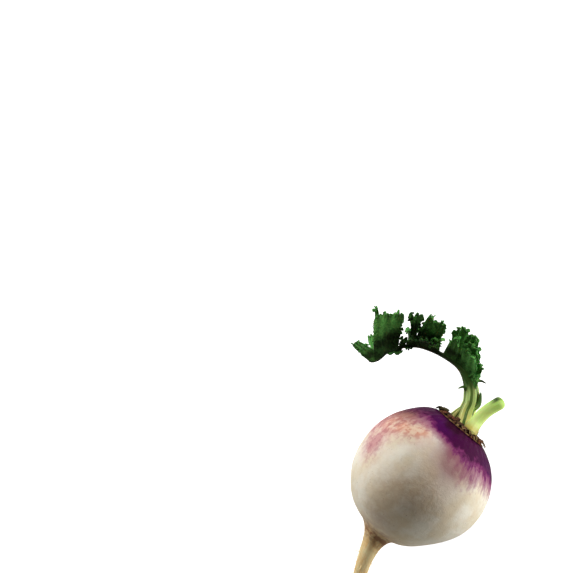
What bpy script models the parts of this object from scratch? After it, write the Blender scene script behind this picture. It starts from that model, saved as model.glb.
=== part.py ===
"""A purple-top turnip lying on its side: root, crown, one frilled leaf, a cut stalk and a dried shoot.

Each piece is shaped upright, in the plant's own frame: +Z runs up the root's axis to the crown, the
leaf arches over towards +X, and the middle of the round body is the origin. One empty then lays the
whole plant on its side, on a small flat spot of the root.
"""

import math
import random
from collections import namedtuple

import bmesh
import bpy
from mathutils import Matrix, Vector

MM = 0.001
MENDING_ROUNDS = 6

# The round body and how it lies
BODY_RADIUS = 40.0 * MM
FLAT_DEPTH = 1.4 * MM
PITCH = math.radians(71.3)
ROLL = math.radians(112.9)

# How far the body is from round: lobes round the axis, their share of the radius and their turn
LOBING = ((2, 0.012, 0.6), (3, 0.008, 2.0), (5, 0.006, 1.0))

# The shoulder, where the crown sits
SHOULDER_HEIGHT = 36.6 * MM
SHOULDER_SOFTNESS = 1.2 * MM

# How far the body leans towards +X, as (height, lean) in mm
LEAN = ((-46.0, 0.0), (-30.0, 0.8), (-4.0, -0.8), (26.0, -0.8), (36.0, 0.0))

# The tap root
BODY_SHARE = 0.66
LAST_BODY_ANGLE = math.radians(155)
TAIL_END = -103.0 * MM
TAIL_RADIUS = 5.2 * MM
TIP_RADIUS = 0.7 * MM
TAIL_TAPER = 1.6
TAIL_BLEND = 0.5 * BODY_RADIUS
NECK_FLARE = 6.0 * MM
NECK_DECAY = 4.6 * MM
TAIL_CLEARANCE = 0.6 * MM
TAIL_LIFT_SOFTNESS = 2.0 * MM

# How the tap root bends away from the axis: where from, how soft, its slope and its curve a metre
BEND_START = 0.95 * BODY_RADIUS
BEND_SOFTNESS = 3.0 * MM
BEND_SLOPE = 0.28
BEND_CURVE = 1.7

# The tap root's flutes: how many, their depth as a share, their twist and where they fade in
FLUTES = 3
FLUTE_DEPTH = 0.05
FLUTE_TWIST = 9.0 / BODY_RADIUS
FLUTE_START = 0.9 * BODY_RADIUS
FLUTE_BLEND = 0.3 * BODY_RADIUS

# The crown: a gap keeps the pieces that stand on it apart from it
GAP = 0.35 * MM
CROWN_RADIUS = 14.0 * MM
CROWN_HEIGHT = 2.3 * MM
CROWN_FOOT = SHOULDER_HEIGHT + GAP
STALK_FOOT = CROWN_FOOT + CROWN_HEIGHT + GAP
STALK_SINK = 4.0 * MM
CROWN_FOOT_SHARE = 0.98
CROWN_TOP_SHARE = 0.7
CROWN_DROP = 0.35
CROWN_LOBING = ((4, 0.04, 1.0), (7, 0.03, 0.0))

# The rings of leaf scars on the crown: their height, how close they are and how they wave
SCAR_HEIGHT = 0.25 * MM
SCAR_MARGIN = 0.3 * MM
SCAR_PHASE = 14.0
SCAR_WAVE = 2.0
SCAR_SIDES = 3

# The dry scales round the crown's rim, sizes in mm; the dried shoot takes the place of some
SCALES = 22
SCALE_REACH = (2.4, 5.0)
SCALE_LIFT = (0.9, 2.1)
SCALE_WIDTH = (1.3, 2.2)
SCALE_THICKNESS = (0.62, 0.37)
SCALE_INSET = 2.2 * MM
SCALE_FOOT = 1.0 * MM
SCALE_ARCH = 0.5 * MM
SCALE_SCATTER = 0.25
SHOOT_ANGLE = math.radians(22)

# Dry stubs of older stalks, as (x, y) in mm on the crown, with their height, lean and half sizes in mm
STUBS = ((-1.5, -10.2), (5.6, -10.0), (-8.4, -5.6), (4.6, 8.8))
STUB_HEIGHT = (2.0, 4.4)
STUB_LEAN = 0.8
STUB_WIDTH = (2.1, 1.2)
STUB_THICKNESS = (1.5, 0.7)
STUB_FOOT = 1.0

# The leaf
BLADE = 0.9 * MM
BLADE_ROWS = 4
LOBE_OFFSET = 0.3 * MM
LEAF_DEPTH = -3.0

# A lobe opens out of the arch's plane by this share of its angle at the midrib, and more to its rim
OPENING_AT_MIDRIB = 0.75
OPENING_GAIN = 0.6
RUFFLE = 1.5 * MM
RUFFLE_WAVES = 1.3
TOOTH = 0.09
NOTCH = -0.07

Lobe = namedtuple("Lobe", "name side along base aim reach head stalk round open teeth")

# Side 1 is the leaf's near side and -1 its far side. Distances in mm: where on the midrib a lobe sits,
# the width it grows from, its reach and the width of its head. Angles in degrees: its aim in the arch's
# plane and how far it opens out of that plane. A stalk over 1 keeps the lobe narrow until nearer its
# head. Round is how much sooner the head ends at its corners, as a share of the reach.
LOBES = (
    Lobe("a0", 1, 26, 14, 108, 6, 8, 1.0, 0.3, 10, 4),
    Lobe("a1", 1, 30, 7, 75, 19.5, 11, 1.2, 0.2, 34, 5),
    Lobe("a3", 1, 35, 7, 78, 22, 8, 1.0, 0.2, 27, 4),
    Lobe("a2", 1, 40, 13, 69, 22, 13, 1.0, 0.22, 26, 7),
    Lobe("b1", 1, 53, 5, 76, 9, 6, 1.2, 0.3, 40, 3),
    Lobe("b2", 1, 57, 9, 69, 20, 11, 1.4, 0.1, 26, 6),
    Lobe("c1", 1, 66, 4.5, 55, 20, 9, 2.2, 0.1, 24, 5),
    Lobe("c2", 1, 72, 4, 66, 9, 4, 1.2, 0.2, 34, 3),
    Lobe("d1", 1, 82, 15, 47, 25, 17, 0.8, 0.0, 28, 8),
    Lobe("d2", 1, 86, 4, 37, 31.5, 2.5, 0.8, 0.2, 24, 2),
    Lobe("e1", 1, 89, 8, 5, 17, 3, 1.0, 0.1, 30, 3),
    Lobe("a1", -1, 30, 8, 78, 18, 11, 0.8, 0.22, 42, 5),
    Lobe("a2", -1, 41, 10, 72, 20, 14, 1.0, 0.22, 38, 6),
    Lobe("b", -1, 56, 7, 74, 17, 12, 1.4, 0.15, 38, 5),
    Lobe("c", -1, 67, 4, 55, 18, 9, 2.2, 0.15, 36, 4),
    Lobe("d", -1, 81, 13, 51, 23, 16, 0.8, 0.1, 40, 7),
    Lobe("e1", -1, 87, 4, 32, 19, 4.5, 1.8, 0.1, 30, 3),
    Lobe("e2", -1, 90, 6, 8, 12, 3.5, 0.9, 0.1, 44, 3),
)

# The midrib, as (x, z) in mm in the plane of the arch
MIDRIB = (
    (0.6, 39.4),
    (2.0, 42.5),
    (3.8, 46.5),
    (5.5, 52.0),
    (9.8, 57.6),
    (15.2, 61.4),
    (21.6, 63.4),
    (28.4, 63.5),
    (35.8, 62.5),
    (43.4, 60.4),
    (50.0, 57.2),
    (55.4, 52.4),
    (59.4, 46.6),
    (61.9, 41.8),
    (63.7, 37.4),
    (64.9, 33.9),
)
STALK_HALF_WIDTH = 4.3 * MM
FOOT_FLARE = 1.4 * MM
FLARE_DECAY = 4.0 * MM
MIDRIB_HALF_WIDTH = 1.5 * MM
MIDRIB_TIP = 0.7 * MM
SLIMMING_START = 16.2 * MM
SLIMMING_LENGTH = 24.3 * MM
RIB_HEIGHT = 0.07
LEAF_STALK_FLATNESS = 0.72

Tongue = namedtuple("Tongue", "name points foot tip")
GROWTH_FLATNESS = 1.3

# Small growths on the leaf's stalk: points as (x, y, z) in mm, and half widths in mm at foot and tip
GROWTHS = (
    Tongue("sheath", ((8.0, -3.4, 38.0), (7.8, -3.4, 42.5), (7.6, -3.2, 47.0)), 2.4, 1.2),
    Tongue("inner_leaflet", ((10.6, -2.6, 54.5), (14.0, -1.0, 55.6), (16.2, 0.6, 52.6)), 1.1, 0.7),
    Tongue("outer_leaflet", ((11.0, -3.6, 62.4), (8.6, -2.6, 64.6), (5.2, -1.6, 65.4)), 1.0, 0.5),
    Tongue("outer_fold", ((1.8, -3.0, 48.0), (1.0, -1.8, 53.2), (4.6, -2.0, 59.6)), 1.6, 1.2),
)

# The cut stalk, with its half width in mm at its foot and its end
CUT_STALK = ((-5.2, 4.0, 39.6), (-5.0, 4.0, 47.0), (-5.9, 4.2, 54.5), (-8.2, 4.6, 61.7))
CUT_STALK_WIDTH = (3.7, 4.8)
CUT_STALK_FLATNESS = 0.8

# The dried shoot at the crown's rim, in mm, with the half sizes of its fronds at foot and tip
SHOOT_CORE = ((16.3, -3.4, 38.15), (16.5, 0.0, 38.2), (16.2, 3.4, 38.15))
FRONDS = (
    ((16.2, -3.0, 38.0), (17.4, -3.8, 39.0), (18.4, -3.0, 38.2)),
    ((16.3, -1.8, 38.2), (15.4, -2.4, 39.9), (13.8, -1.8, 40.3)),
    ((16.4, -0.6, 38.2), (17.2, -0.4, 39.6), (18.0, -1.0, 40.3)),
    ((16.4, 0.8, 38.2), (16.0, 1.2, 40.0), (14.6, 1.8, 41.0)),
    ((16.3, 2.0, 38.2), (17.0, 2.2, 39.3), (18.6, 2.8, 39.0)),
    ((16.2, 3.0, 38.0), (15.6, 3.8, 39.4), (14.2, 4.4, 39.9)),
)
CORE_WIDTH = (1.2, 1.2)
CORE_THICKNESS = (1.15, 1.15)
FROND_WIDTH = (0.9, 1.4)
FROND_THICKNESS = (0.6, 0.5)

# Each slot's plain colour and roughness
Slot = namedtuple("Slot", "name colour roughness")
SKIN = Slot("turnip_skin", (0.80, 0.72, 0.62), 0.42)
CORK = Slot("crown_cork", (0.16, 0.09, 0.05), 0.85)
LEAF_GREEN = Slot("leaf_green", (0.05, 0.16, 0.03), 0.55)
CUT_GREEN = Slot("cut_stalk_green", (0.42, 0.62, 0.17), 0.45)
DRY_BROWN = Slot("dried_shoot_brown", (0.07, 0.06, 0.03), 0.9)


def clear_scene():
    for item in list(bpy.data.objects):
        bpy.data.objects.remove(item, do_unlink=True)


def material(slot):
    """A plain Principled material in the slot's own colour."""
    made = bpy.data.materials.new(slot.name)
    made.use_nodes = True
    shader = made.node_tree.nodes["Principled BSDF"]
    shader.inputs["Base Color"].default_value = (*slot.colour, 1.0)
    shader.inputs["Roughness"].default_value = slot.roughness
    shader.inputs["Metallic"].default_value = 0.0
    return made


def new_object(name, bm, look, group):
    """The bmesh as an object in a collection, facing out and smooth where it is round."""
    bm.normal_update()
    bmesh.ops.recalc_face_normals(bm, faces=bm.faces)
    if bm.calc_volume(signed=True) < 0.0:
        bmesh.ops.reverse_faces(bm, faces=bm.faces)
    mesh = bpy.data.meshes.new(name)
    bm.to_mesh(mesh)
    bm.free()
    mesh.shade_smooth()
    mesh.set_sharp_from_angle(angle=math.radians(50))
    mesh.materials.append(look)
    made = bpy.data.objects.new(name, mesh)
    group.objects.link(made)
    return made


def new_group(name):
    group = bpy.data.collections.new(name)
    bpy.context.scene.collection.children.link(group)
    return group


def carried_sphere(rings, around, surface):
    """A closed body: a sphere whose ring t, from 0 to 1, and angle are carried to surface(t, angle)."""
    bm = bmesh.new()
    bmesh.ops.create_uvsphere(bm, u_segments=around, v_segments=rings, radius=1.0)
    for vert in bm.verts:
        t = math.acos(max(-1.0, min(1.0, vert.co.z))) / math.pi
        vert.co = surface(t, math.atan2(vert.co.y, vert.co.x))
    return bm


def cut_flat(bm, point, away):
    """Cuts a closed body off at a plane, on the side that away points to, and closes it there."""
    cut = bmesh.ops.bisect_plane(
        bm,
        geom=[*bm.verts, *bm.edges, *bm.faces],
        plane_co=point,
        plane_no=away,
        clear_outer=True,
    )
    rim = [item for item in cut["geom_cut"] if isinstance(item, bmesh.types.BMEdge)]
    bmesh.ops.holes_fill(bm, edges=rim)


def eased(x):
    """0 below 0, 1 above 1, and smooth between."""
    x = max(0.0, min(1.0, x))
    return x * x * (3.0 - 2.0 * x)


def soft_above(x, softness):
    """0 well below 0 and x well above it, with a rounded corner."""
    return softness * math.log1p(math.exp(max(-40.0, min(40.0, x / softness))))


def lying():
    """The turn that lays the upright plant on its side."""
    return Matrix.Rotation(PITCH, 3, "Y") @ Matrix.Rotation(ROLL, 3, "Z")


UP = lying().transposed() @ Vector((0, 0, 1))
BODY_HEIGHT = BODY_RADIUS - FLAT_DEPTH


class Path:
    """A smooth curve through points, read by its length from the start."""

    def __init__(self, points, steps=12):
        ends = [points[0] * 2 - points[1], *points, points[-1] * 2 - points[-2]]
        self.points = []
        for a, b, c, d in zip(ends, ends[1:], ends[2:], ends[3:]):
            for step in range(steps):
                self.points.append(self.between(a, b, c, d, step / steps))
        self.points.append(points[-1])
        self.lengths = [0.0]
        for a, b in zip(self.points, self.points[1:]):
            self.lengths.append(self.lengths[-1] + (b - a).length)
        self.length = self.lengths[-1]

    @staticmethod
    def between(a, b, c, d, t):
        """Catmull-Rom: the curve from b to c at share t."""
        return (
            b * 2
            + (c - a) * t
            + (a * 2 - b * 5 + c * 4 - d) * t * t
            + (b * 3 - a - c * 3 + d) * t**3
        ) / 2

    def at(self, length):
        """The point that far along, straight on past either end."""
        if length <= 0:
            return self.points[0] + (self.points[1] - self.points[0]).normalized() * length
        for i, reached in enumerate(self.lengths[1:]):
            if length <= reached:
                share = (length - self.lengths[i]) / (reached - self.lengths[i])
                return self.points[i].lerp(self.points[i + 1], share)
        beyond = length - self.length
        return self.points[-1] + (self.points[-1] - self.points[-2]).normalized() * beyond

    def heading(self, length):
        step = 0.5 * MM
        return (self.at(length + step) - self.at(length - step)).normalized()


def path_in_mm(points):
    return Path([Vector(point) * MM for point in points])


def tail_radius(z):
    """The tap root's own radius at a height, flared where it leaves the body."""
    start = -BODY_RADIUS
    share = max(0.0, min(1.0, (start - z) / (start - TAIL_END)))
    thin = TIP_RADIUS + (TAIL_RADIUS - TIP_RADIUS) * (1.0 - share**TAIL_TAPER)
    flare = NECK_FLARE * math.exp(-max(0.0, start - z) / NECK_DECAY)
    return (thin + flare) * eased((-z - TAIL_BLEND) / TAIL_BLEND)


def tail_centre(z, radius):
    """The tap root's middle: it bends to one side, and its thin end lies along the surface."""
    below = soft_above(-z - BEND_START, BEND_SOFTNESS)
    centre = Vector((-(BEND_SLOPE * below + BEND_CURVE * below * below), 0.0, z))
    height = BODY_HEIGHT + centre.dot(UP)
    lowest = radius + TAIL_CLEARANCE
    lifted = lowest + soft_above(height - lowest, TAIL_LIFT_SOFTNESS)
    in_tail = eased((-z - BODY_RADIUS) / BODY_RADIUS)
    return centre + UP * (lifted - height) * in_tail


def lean(z):
    """How far the body's middle lies towards +X at a height."""
    for (low, before), (high, after) in zip(LEAN, LEAN[1:]):
        if low * MM <= z < high * MM:
            return (before + (after - before) * eased((z / MM - low) / (high - low))) * MM
    return 0.0


def shoulder_level(z):
    """A height on the round body, brought down where the crown flattens it."""
    return SHOULDER_HEIGHT - soft_above(SHOULDER_HEIGHT - z, SHOULDER_SOFTNESS) if z > 0 else z


def ring_height(t):
    """The height of the skin's ring t: even steps of angle on the body, even steps down the tap root."""
    if t < BODY_SHARE:
        return BODY_RADIUS * math.cos(LAST_BODY_ANGLE * t / BODY_SHARE)
    last = BODY_RADIUS * math.cos(LAST_BODY_ANGLE)
    return last + (TAIL_END - last) * (t - BODY_SHARE) / (1.0 - BODY_SHARE)


def root_surface(t, angle):
    """The skin: a ball flattened at the crown, drawn out into the tap root, and never quite round."""
    z = ring_height(t)
    ball = math.sqrt(max(0.0, BODY_RADIUS**2 - z * z))
    radius = math.hypot(ball, tail_radius(z)) if t < 1.0 else 0.0
    lobing = sum(share * math.cos(count * angle + turn) for count, share, turn in LOBING)
    fluting = FLUTE_DEPTH * math.cos(FLUTES * angle + FLUTE_TWIST * z)
    in_tail = eased((-z - FLUTE_START) / FLUTE_BLEND)
    radius *= 1.0 + lobing + fluting * in_tail
    centre = tail_centre(z, radius)
    centre.x += lean(z)
    centre.z += shoulder_level(z) - z
    return centre + Vector((math.cos(angle), math.sin(angle), 0.0)) * radius


def turnip_root(group):
    """The round root and its tap root, with the flat spot that it rests on cut level."""
    bm = carried_sphere(42, 36, root_surface)
    cut_flat(bm, -UP * BODY_HEIGHT, -UP)
    return new_object("turnip_root", bm, material(SKIN), group)


def tapered(ends, power=1):
    """A size that goes from foot to tip, given in mm, as a function of the share along a piece."""
    foot, tip = ends
    return lambda share: (foot + (tip - foot) * share**power) * MM


def tongue(path, half_width, half_thickness, flat_way):
    """surface(t, angle) of a flattened stalk along a path, flat across its foot and its tip."""

    def surface(t, angle):
        share = eased(t) if t < 1.0 else 1.0
        length = path.length * share
        heading = path.heading(length)
        wide = flat_way - heading * flat_way.dot(heading)
        wide.normalize()
        thick = heading.cross(wide)
        closed = 1.0 if 0.0 < t < 1.0 else 0.0
        across = math.cos(angle) * half_width(share) * closed
        through = math.sin(angle) * half_thickness(share) * closed
        return path.at(length) + wide * across + thick * through

    return surface


def shells_of(bm):
    """The mesh's vertices, as one list for each piece that hangs together."""
    unseen = set(bm.verts)
    shells = []
    while unseen:
        shell = []
        waiting = [unseen.pop()]
        while waiting:
            vert = waiting.pop()
            shell.append(vert)
            for edge in vert.link_edges:
                other = edge.other_vert(vert)
                if other in unseen:
                    unseen.remove(other)
                    waiting.append(other)
        shells.append(shell)
    return shells


def keep_largest_shell(bm):
    """Drops what isn't joined to the outer skin, such as the wall of a hollow that the union sealed."""
    shells = sorted(shells_of(bm), key=len)
    loose = [vert for shell in shells[:-1] for vert in shell]
    bmesh.ops.delete(bm, geom=loose, context="VERTS")


def mend_touching_edges(bm):
    """Closes up the few short edges where the union leaves two folds of the skin touching."""
    for _ in range(MENDING_ROUNDS):
        touching = [edge for edge in bm.edges if len(edge.link_faces) != 2]
        if not touching:
            return
        bmesh.ops.collapse(bm, edges=touching, uvs=False)


def joined(name, core, extras, look, group):
    """One closed object from a core and the pieces sunk into it."""
    bpy.context.view_layer.update()
    union = core.modifiers.new("grown_together", "BOOLEAN")
    union.operation = "UNION"
    union.operand_type = "COLLECTION"
    union.collection = extras
    union.solver = "MANIFOLD"
    graph = bpy.context.evaluated_depsgraph_get()
    mesh = bpy.data.meshes.new_from_object(core.evaluated_get(graph))
    for item in [core, *extras.objects]:
        bpy.data.objects.remove(item, do_unlink=True)
    bpy.data.collections.remove(extras)
    bm = bmesh.new()
    bm.from_mesh(mesh)
    keep_largest_shell(bm)
    bmesh.ops.triangulate(bm, faces=bm.faces)
    mend_touching_edges(bm)
    bpy.data.meshes.remove(mesh)
    return new_object(name, bm, look, group)


def crown_surface(t, angle):
    """A low corky disc with rings of old leaf scars on its top, flat underneath."""
    if t < CROWN_TOP_SHARE:
        share = t / CROWN_TOP_SHARE
        radius = CROWN_RADIUS * share
        wave = math.cos(SCAR_PHASE * share + SCAR_WAVE * math.cos(SCAR_SIDES * angle))
        scars = SCAR_HEIGHT * wave * eased(share * 2) - SCAR_MARGIN
        z = CROWN_FOOT + CROWN_HEIGHT * (1.0 - CROWN_DROP * share**3) + scars
    else:
        share = (t - CROWN_TOP_SHARE) / (1.0 - CROWN_TOP_SHARE)
        radius = CROWN_RADIUS * (1.0 - share) * CROWN_FOOT_SHARE
        z = CROWN_FOOT
    radius *= 1.0 + sum(share * math.cos(count * angle + turn) for count, share, turn in CROWN_LOBING)
    return Vector((math.cos(angle) * radius, math.sin(angle) * radius, z))


def scale(number, angle, draw, look, group):
    """One dry scale, lying out over the shoulder from the crown's rim."""
    out = Vector((math.cos(angle), math.sin(angle), 0.0))
    along = Vector((-out.y, out.x, 0.0))
    reach = CROWN_RADIUS + draw.uniform(*SCALE_REACH) * MM
    skin = shoulder_level(math.sqrt(BODY_RADIUS**2 - reach**2))
    foot = out * (CROWN_RADIUS - SCALE_INSET) + Vector((0, 0, CROWN_FOOT + SCALE_FOOT))
    tip = out * reach + Vector((0, 0, skin + draw.uniform(*SCALE_LIFT) * MM))
    middle = foot.lerp(tip, 0.5) + Vector((0, 0, SCALE_ARCH))
    width = draw.uniform(*SCALE_WIDTH)
    half_width = tapered((1.05 * width, 0.3 * width), 2)
    surface = tongue(Path([foot, middle, tip]), half_width, tapered(SCALE_THICKNESS), along)
    new_object(f"scale_{number}", carried_sphere(6, 6, surface), look, group)


def stub(number, x, y, draw, look, group):
    """The dry stub of an older stalk, low on the crown."""
    top = draw.uniform(*STUB_HEIGHT)
    lean_over = draw.uniform(-STUB_LEAN, STUB_LEAN)
    foot = CROWN_FOOT / MM + STUB_FOOT
    points = ((x, y, foot), (x + 0.3 * lean_over, y, foot + 0.5 * top), (x + lean_over, y, foot + top))
    flat_way = Vector((-y, x, 0.0)).normalized()
    surface = tongue(path_in_mm(points), tapered(STUB_WIDTH), tapered(STUB_THICKNESS), flat_way)
    new_object(f"stub_{number}", carried_sphere(6, 8, surface), look, group)


def crown(group):
    """The crown's disc, with dry scales round its rim and the stubs of older stalks on it."""
    look = material(CORK)
    extras = new_group("scales")
    draw = random.Random(11)
    for number in range(SCALES):
        angle = math.tau * (number + draw.uniform(-SCALE_SCATTER, SCALE_SCATTER)) / SCALES
        if math.cos(angle) < math.cos(SHOOT_ANGLE):
            scale(number, angle, draw, look, extras)
    for number, (x, y) in enumerate(STUBS):
        stub(number, x, y, draw, look, extras)
    core = new_object("disc", carried_sphere(12, 26, crown_surface), look, group)
    return joined("crown", core, extras, look, group)


def midrib_path():
    return path_in_mm([(x, LEAF_DEPTH, z) for x, z in MIDRIB])


def midrib_width(length, whole):
    """Half the width of the stalk and midrib: flared at the foot, thick while bare, then fine."""
    flare = FOOT_FLARE * math.exp(-max(0.0, length) / FLARE_DECAY)
    slim = eased((length - SLIMMING_START) / SLIMMING_LENGTH)
    rib = STALK_HALF_WIDTH + (MIDRIB_HALF_WIDTH - STALK_HALF_WIDTH) * slim
    taper = length / whole
    return flare + rib + (MIDRIB_TIP - MIDRIB_HALF_WIDTH) * taper**2


def stalk_solid(name, path, half_width, flatness, look, group, rings, around=12):
    """A ribbed leaf stalk along a path, standing level on the crown and cut flat at its far end."""

    def surface(t, angle):
        share = max(0.0, min(1.0, (t * rings - 1.0) / (rings - 2.0)))
        length = (path.length + STALK_SINK) * share - STALK_SINK
        heading = path.heading(length)
        deep = Vector((0, 1, 0)) - heading * heading.y
        deep.normalize()
        wide = heading.cross(deep)
        radius = half_width(length) if 0.0 < t < 1.0 else 0.0
        ribs = 1.0 + RIB_HEIGHT * math.cos(around / 2 * angle)
        across = wide * math.cos(angle) * radius * ribs
        return path.at(length) + across + deep * math.sin(angle) * radius * ribs * flatness

    bm = carried_sphere(rings, around, surface)
    cut_flat(bm, Vector((0, 0, STALK_FOOT)), Vector((0, 0, -1)))
    return new_object(name, bm, look, group)


def lobe_point(path, lobe, a, b, tooth=0.0):
    """A lobe's middle sheet at a, from -1 to 1 across it, and b, from 0 at the midrib to 1 at its rim."""
    place = path.at((lobe.along + 0.5 * lobe.base * a * (1.0 - b)) * MM)
    place.y += lobe.side * LOBE_OFFSET
    heading = path.heading(lobe.along * MM)
    aim = math.radians(lobe.aim)
    forward = Vector((math.cos(aim), 0.0, math.sin(aim)))
    sideways = Vector((math.sin(aim), 0.0, -math.cos(aim)))
    out = Vector((-heading.z, 0.0, heading.x))
    if out.dot(forward) < 0:
        out.negate()
    opening = math.radians(lobe.open) * (OPENING_AT_MIDRIB + OPENING_GAIN * b)
    depth = Vector((0.0, lobe.side, 0.0))
    flat = forward * lobe.reach * MM * b * (1.0 - lobe.round * a * a * b + tooth)
    flat += sideways * 0.5 * lobe.head * MM * a * b**lobe.stalk
    lifted = heading * flat.dot(heading)
    lifted += (out * math.cos(opening) + depth * math.sin(opening)) * flat.dot(out)
    normal = heading.cross(out * math.cos(opening) + depth * math.sin(opening))
    ruffle = RUFFLE * b**1.5 * math.sin(RUFFLE_WAVES * math.tau * a + lobe.along)
    return place + lifted + normal * ruffle


def blade(lobe, path, look, group):
    """One thin lobe, its outer rim cut into teeth."""
    columns = 2 * lobe.teeth
    bm = bmesh.new()
    bmesh.ops.create_grid(bm, x_segments=columns, y_segments=BLADE_ROWS, size=1.0)
    for vert in bm.verts:
        a = vert.co.x
        b = (vert.co.y + 1.0) / 2.0
        odd = round((a + 1.0) / 2.0 * columns) % 2
        on_rim = b > 0.99
        tooth = (TOOTH if odd else NOTCH) if on_rim else 0.0
        vert.co = lobe_point(path, lobe, a, b, tooth)
    bmesh.ops.triangulate(bm, faces=bm.faces)
    made = new_object(f"lobe_{lobe.name}_{lobe.side}", bm, look, group)
    thick = made.modifiers.new("blade", "SOLIDIFY")
    thick.thickness = BLADE
    thick.offset = 0.0
    return made


def growth(shape, look, group):
    """One of the small growths on the leaf's stalk, level where it stands on the crown."""
    thickness = (shape.foot, shape.tip)
    width = [size * GROWTH_FLATNESS for size in thickness]
    surface = tongue(path_in_mm(shape.points), tapered(width), tapered(thickness), Vector((0, 1, 0)))
    bm = carried_sphere(8, 8, surface)
    cut_flat(bm, Vector((0, 0, STALK_FOOT)), Vector((0, 0, -1)))
    return new_object(shape.name, bm, look, group)


def leaf(group):
    """The stalk and midrib, with a row of frilled lobes on either side that open in a V."""
    look = material(LEAF_GREEN)
    path = midrib_path()
    extras = new_group("lobes")
    for lobe in LOBES:
        blade(lobe, path, look, extras)
    for shape in GROWTHS:
        growth(shape, look, extras)

    def half_width(length):
        return midrib_width(length, path.length)

    core = stalk_solid("midrib", path, half_width, LEAF_STALK_FLATNESS, look, group, rings=30)
    return joined("leaf", core, extras, look, group)


def cut_stalk(group):
    """A thick stalk, its leaf cut away."""
    path = path_in_mm(CUT_STALK)
    look = material(CUT_GREEN)
    sized = tapered(CUT_STALK_WIDTH)

    def half_width(length):
        return sized(length / path.length)

    return stalk_solid("cut_stalk", path, half_width, CUT_STALK_FLATNESS, look, group, rings=14, around=16)


def dried_shoot(group):
    """A small shoot that dried up and curled at the crown's rim: short fronds from one low core."""
    look = material(DRY_BROWN)
    extras = new_group("fronds")
    across = Vector((0, 1, 0))
    for number, points in enumerate(FRONDS):
        surface = tongue(path_in_mm(points), tapered(FROND_WIDTH), tapered(FROND_THICKNESS), across)
        new_object(f"frond_{number}", carried_sphere(6, 6, surface), look, extras)
    along = Vector((1, 0, 0))
    surface = tongue(path_in_mm(SHOOT_CORE), tapered(CORE_WIDTH), tapered(CORE_THICKNESS), along)
    core = new_object("shoot_core", carried_sphere(8, 8, surface), look, group)
    return joined("dried_shoot", core, extras, look, group)


def main():
    clear_scene()
    group = new_group("turnip")
    pieces = [turnip_root(group), crown(group), leaf(group), cut_stalk(group), dried_shoot(group)]
    bed = bpy.data.objects.new("lying_on_its_side", None)
    group.objects.link(bed)
    bed.matrix_world = Matrix.Translation((0, 0, BODY_HEIGHT)) @ lying().to_4x4()
    for piece in pieces:
        piece.parent = bed


main()
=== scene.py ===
"""The looks of the turnip: its skin, crown, leaf and stalks, with the floor, the light and the camera.

Every piece is shaped upright in the plant's own frame, as the solids are: +Z runs up the root's axis to
the crown and the middle of the round body is the origin. Its points are then laid on their side.
"""

import random
from collections import namedtuple
from math import acos, atan2, cos, degrees, exp, hypot, log1p, pi, radians, sin, sqrt, tau

import bpy
from mathutils import Matrix, Vector, noise

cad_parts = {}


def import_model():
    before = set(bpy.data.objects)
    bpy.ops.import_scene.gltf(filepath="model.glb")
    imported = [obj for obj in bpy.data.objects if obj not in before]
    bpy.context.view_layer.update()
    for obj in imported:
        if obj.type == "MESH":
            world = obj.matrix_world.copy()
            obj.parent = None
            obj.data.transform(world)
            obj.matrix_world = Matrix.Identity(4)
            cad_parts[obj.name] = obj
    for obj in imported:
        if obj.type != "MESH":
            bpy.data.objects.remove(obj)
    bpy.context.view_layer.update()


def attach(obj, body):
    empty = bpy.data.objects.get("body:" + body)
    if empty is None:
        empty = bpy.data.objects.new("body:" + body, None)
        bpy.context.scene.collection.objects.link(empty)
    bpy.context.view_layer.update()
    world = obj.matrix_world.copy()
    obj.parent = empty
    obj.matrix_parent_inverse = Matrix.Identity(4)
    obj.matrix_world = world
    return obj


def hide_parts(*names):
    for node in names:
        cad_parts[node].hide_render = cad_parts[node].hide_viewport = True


MM = 0.001

# The round body and how it lies
BODY_RADIUS = 40.0 * MM
FLAT_DEPTH = 1.4 * MM
FLAT_SOFTNESS = 0.12 * MM
PITCH = radians(71.3)
ROLL = radians(112.9)
BODY_HEIGHT = BODY_RADIUS - FLAT_DEPTH
AXIS = Vector((0, 0, 1))
TO_CAMERA = Vector((0, 1, 0))
LYING = Matrix.Rotation(PITCH, 3, "Y") @ Matrix.Rotation(ROLL, 3, "Z")
UP = LYING.transposed() @ AXIS

LOBING = ((2, 0.012, 0.6), (3, 0.008, 2.0), (5, 0.006, 1.0))
SHOULDER_HEIGHT = 36.6 * MM
SHOULDER_SOFTNESS = 1.2 * MM
LEAN = ((-46.0, 0.0), (-30.0, 0.8), (-4.0, -0.8), (26.0, -0.8), (36.0, 0.0))

# The tap root
BODY_SHARE = 0.66
LAST_BODY_ANGLE = radians(155)
LAST_BODY_HEIGHT = BODY_RADIUS * cos(LAST_BODY_ANGLE)
TAIL_END = -103.0 * MM
TAIL_RADIUS = 5.2 * MM
TIP_RADIUS = 0.7 * MM
NECK_FLARE = 6.0 * MM
NECK_DECAY = 4.6 * MM
TAIL_SLOPE = 0.28
TAIL_BEND = 1.7
TAIL_CLEARANCE = 0.6 * MM
TAIL_LIFT_SOFTNESS = 2.0 * MM
TAIL_FLUTING = 0.05
SKIN_RINGS = 310
SKIN_AROUND = 300
ROOT_HAIRS = 26

# The crown
GAP = 0.35 * MM
CROWN_RADIUS = 14.0 * MM
CROWN_HEIGHT = 2.3 * MM
CROWN_FOOT = SHOULDER_HEIGHT + GAP
STALK_SINK = 2.0 * MM
CROWN_TOP_SHARE = 0.7
COLLAR_FOOT = CROWN_RADIUS - 1.5 * MM
COLLAR_RADIUS = CROWN_RADIUS + 2.0 * MM
SCALES = 84
DRY_THICKNESS = 0.25 * MM
BARE_ANGLE = radians(17.6)
STUBS = ((-1.5, -10.2), (5.6, -10.0), (-8.4, -5.6), (4.6, 8.8))

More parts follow.
